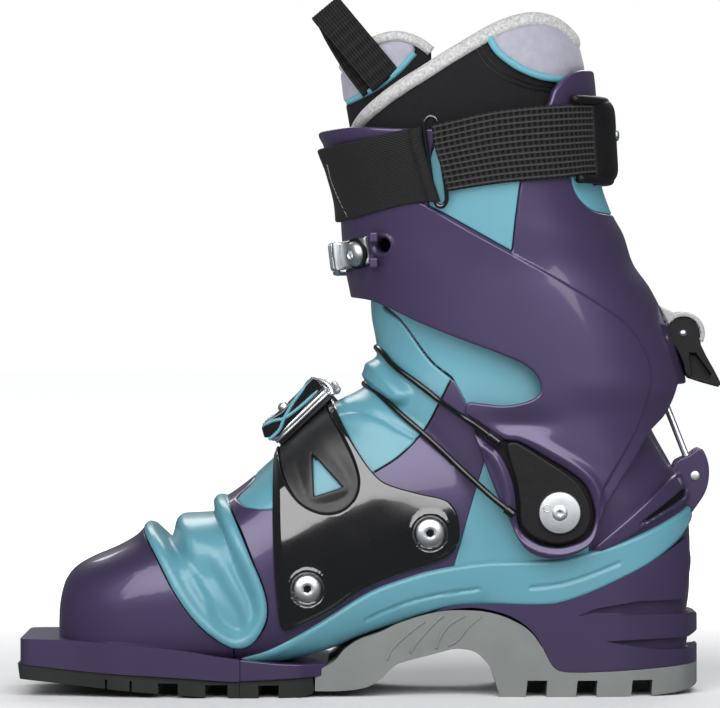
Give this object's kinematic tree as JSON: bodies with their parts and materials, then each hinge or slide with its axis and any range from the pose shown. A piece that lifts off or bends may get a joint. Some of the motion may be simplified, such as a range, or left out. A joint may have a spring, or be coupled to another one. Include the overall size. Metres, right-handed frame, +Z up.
{
  "type": "telemark ski boot",
  "caption": "Plastic telemark ski boot with duckbill toe, flexing bellows, hinged cuff with walk lever, buckles, power strap and soft liner.",
  "frame": {"origin": "on the ground under the middle of the boot's overall length and width", "axes": "toe towards -X, medial side towards -Y, +Z up"},
  "size_m": [0.3004, 0.1052, 0.2966],
  "materials": {
    "pearl_purple": "pearl gloss",
    "teal": "satin gloss",
    "gloss_black": "high gloss",
    "satin_black": "fine grain",
    "black_rubber": "matt",
    "grey_rubber": "matt",
    "zinc_steel": "zinc plated",
    "silver_plastic": "satin metallic",
    "cable_black": "sheathed cable",
    "liner_fabric": "knitted neoprene",
    "tongue_fabric": "mesh",
    "footbed_fabric": "felt",
    "webbing": "woven webbing",
    "rim_fabric": "heathered knit",
    "panel_fabric": "brushed lining"
  },
  "bodies": {
    "lower": {"lower_shell": "pearl_purple", "heel_block": "pearl_purple", "rear_outsole": "grey_rubber", "front_outsole_rear": "black_rubber", "bellows": "teal", "side_band": "teal", "instep_panel": "teal", "ankle_panel_medial": "teal", "ankle_panel_lateral": "teal", "boot_board": "satin_black", "liner": "liner_fabric", "footbed": "footbed_fabric", "tongue": "tongue_fabric", "forefoot_plate": "gloss_black", "plate_screw_1": "zinc_steel", "plate_screw_2": "zinc_steel", "forefoot_ladder": "zinc_steel", "forefoot_base": "gloss_black", "instep_base": "gloss_black", "instep_cable_upper": "cable_black", "instep_cable_lower": "cable_black", "pivot_bolt_medial": "zinc_steel", "pivot_bolt_lateral": "zinc_steel", "anchor_pin": "zinc_steel", "pull_loop": "webbing"},
    "toe": {"toe_shell": "pearl_purple", "front_outsole_toe": "black_rubber", "liner_toe": "liner_fabric", "pin_plate": "zinc_steel"},
    "cuff": {"cuff": "pearl_purple", "cuff_panel_medial": "teal", "cuff_panel_lateral": "teal", "pivot_plate_medial": "satin_black", "pivot_plate_lateral": "satin_black", "power_strap_front": "webbing", "power_strap_rear_medial": "webbing", "power_strap_rear_lateral": "webbing", "strap_guide": "satin_black", "strap_loop_medial": "satin_black", "strap_loop_lateral": "satin_black", "cuff_ladder": "zinc_steel", "cuff_base": "gloss_black", "walk_housing": "silver_plastic", "walk_pin": "zinc_steel"},
    "walk_lever": {"walk_lever": "satin_black"},
    "rod": {"walk_rod": "zinc_steel"},
    "cuff_lever": {"cuff_lever": "gloss_black"},
    "cuff_bail": {"cuff_bail": "zinc_steel"},
    "instep_lever": {"instep_lever": "gloss_black"},
    "forefoot_lever": {"forefoot_lever": "gloss_black"},
    "forefoot_bail": {"forefoot_bail": "zinc_steel"}
  },
  "joints": [
    {"name": "toe_flex", "type": "hinge", "parent": "lower", "child": "toe", "pos_m": [-0.055, 0, 0.008], "axis": [0, 1, 0], "range_deg": [0, 20], "stiffness_Nm_per_rad": 12, "deforming": ["bellows"]},
    {"name": "cuff_pivot", "type": "hinge", "parent": "lower", "child": "cuff", "pos_m": [0.0797, 0, 0.0785], "axis": [0, -1, 0], "range_deg": [-2.5, 18], "deforming": ["liner", "tongue", "instep_cable_upper", "instep_cable_lower", "pull_loop"]},
    {"name": "rod_swing", "type": "hinge", "parent": "lower", "child": "rod", "pos_m": [0.1395, 0, 0.0926], "axis": [0, -1, 0], "range_deg": [-2.5, 14]},
    {"name": "walk_lever_flip", "type": "hinge", "parent": "cuff", "child": "walk_lever", "pos_m": [0.1343, 0, 0.1537], "axis": [0, -1, 0], "range_deg": [0, 75]},
    {"name": "cuff_lever_open", "type": "hinge", "parent": "cuff", "child": "cuff_lever", "pos_m": [0.0032, 0.0373, 0.1875], "axis": [0, 0, 1], "range_deg": [0, 85]},
    {"name": "cuff_bail_swing", "type": "hinge", "parent": "cuff_lever", "child": "cuff_bail", "pos_m": [0.0032, 0.0373, 0.1875], "axis": [0, 0, -1], "range_deg": [0, 103]},
    {"name": "instep_lever_open", "type": "hinge", "parent": "lower", "child": "instep_lever", "pos_m": [0.008, 0.0315, 0.116], "axis": [1, 0, 0], "range_deg": [0, 110]},
    {"name": "forefoot_lever_open", "type": "hinge", "parent": "lower", "child": "forefoot_lever", "pos_m": [-0.01817, 0.0385, 0.10662], "axis": [-0.7254, 0, -0.6884], "range_deg": [0, 95]},
    {"name": "forefoot_bail_swing", "type": "hinge", "parent": "forefoot_lever", "child": "forefoot_bail", "pos_m": [-0.03091, 0.008, 0.12004], "axis": [0.7254, 0, 0.6884], "range_deg": [0, 39]}
  ],
  "couplings": [
    {"joint": "rod_swing", "follows": "cuff_pivot", "ratio": 0.74},
    {"joint": "cuff_bail_swing", "follows": "cuff_lever_open", "ratio": 1.2},
    {"joint": "forefoot_bail_swing", "follows": "forefoot_lever_open", "ratio": 0.4}
  ]
}
